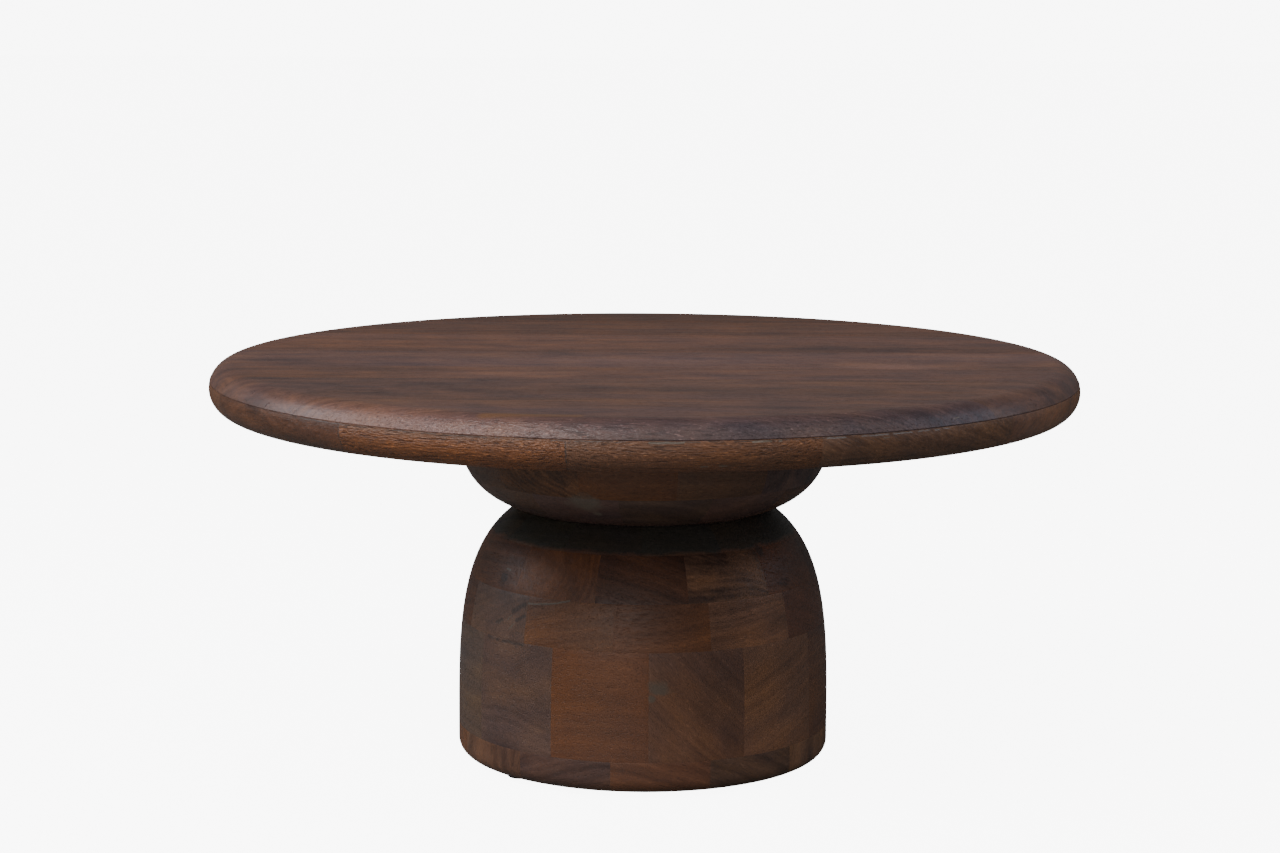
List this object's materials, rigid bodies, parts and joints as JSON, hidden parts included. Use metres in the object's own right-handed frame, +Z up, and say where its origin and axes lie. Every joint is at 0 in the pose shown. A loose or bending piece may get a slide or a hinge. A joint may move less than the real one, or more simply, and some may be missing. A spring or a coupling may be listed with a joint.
{
  "type": "round pedestal coffee table",
  "caption": "Low round hardwood table: a thick disc top with a rounded rim on a hollow waisted drum pedestal of glued blocks with small glides.",
  "frame": {"origin": "on the floor under the table's centre", "axes": "+Z up along the pedestal's axis, front towards -Y, top boards along X"},
  "size_m": [0.9, 0.9, 0.42],
  "materials": {
    "top_boards": "dark stained, satin lacquer",
    "rim_ring": "dark stained, satin lacquer",
    "pedestal_blocks": "dark stained, satin lacquer",
    "hidden_wood": "sawn, thin brown stain",
    "glides": "matte, reddish black",
    "steel": "zinc plated"
  },
  "bodies": {
    "root": {"top_board_1": "top_boards", "top_board_2": "top_boards", "top_board_3": "top_boards", "top_board_4": "top_boards", "top_board_5": "top_boards", "top_board_6": "top_boards", "top_board_7": "top_boards", "rim_segment_1": "rim_ring", "rim_segment_2": "rim_ring", "rim_segment_3": "rim_ring", "rim_segment_4": "rim_ring", "rim_segment_5": "rim_ring", "rim_segment_6": "rim_ring", "rim_segment_7": "rim_ring", "rim_segment_8": "rim_ring", "rim_segment_9": "rim_ring", "rim_segment_10": "rim_ring", "rim_segment_11": "rim_ring", "rim_segment_12": "rim_ring", "centre_plank_1": "hidden_wood", "centre_plank_2": "hidden_wood", "centre_plank_3": "hidden_wood", "mounting_disc": "hidden_wood", "skirt_course": "pedestal_blocks", "wall_course": "pedestal_blocks", "waist_course": "pedestal_blocks", "shoulder_course": "pedestal_blocks", "neck_course": "pedestal_blocks", "bowl_lower_course": "pedestal_blocks", "bowl_upper_course": "pedestal_blocks", "glides": "glides", "coach_screws": "steel"}
  },
  "joints": []
}
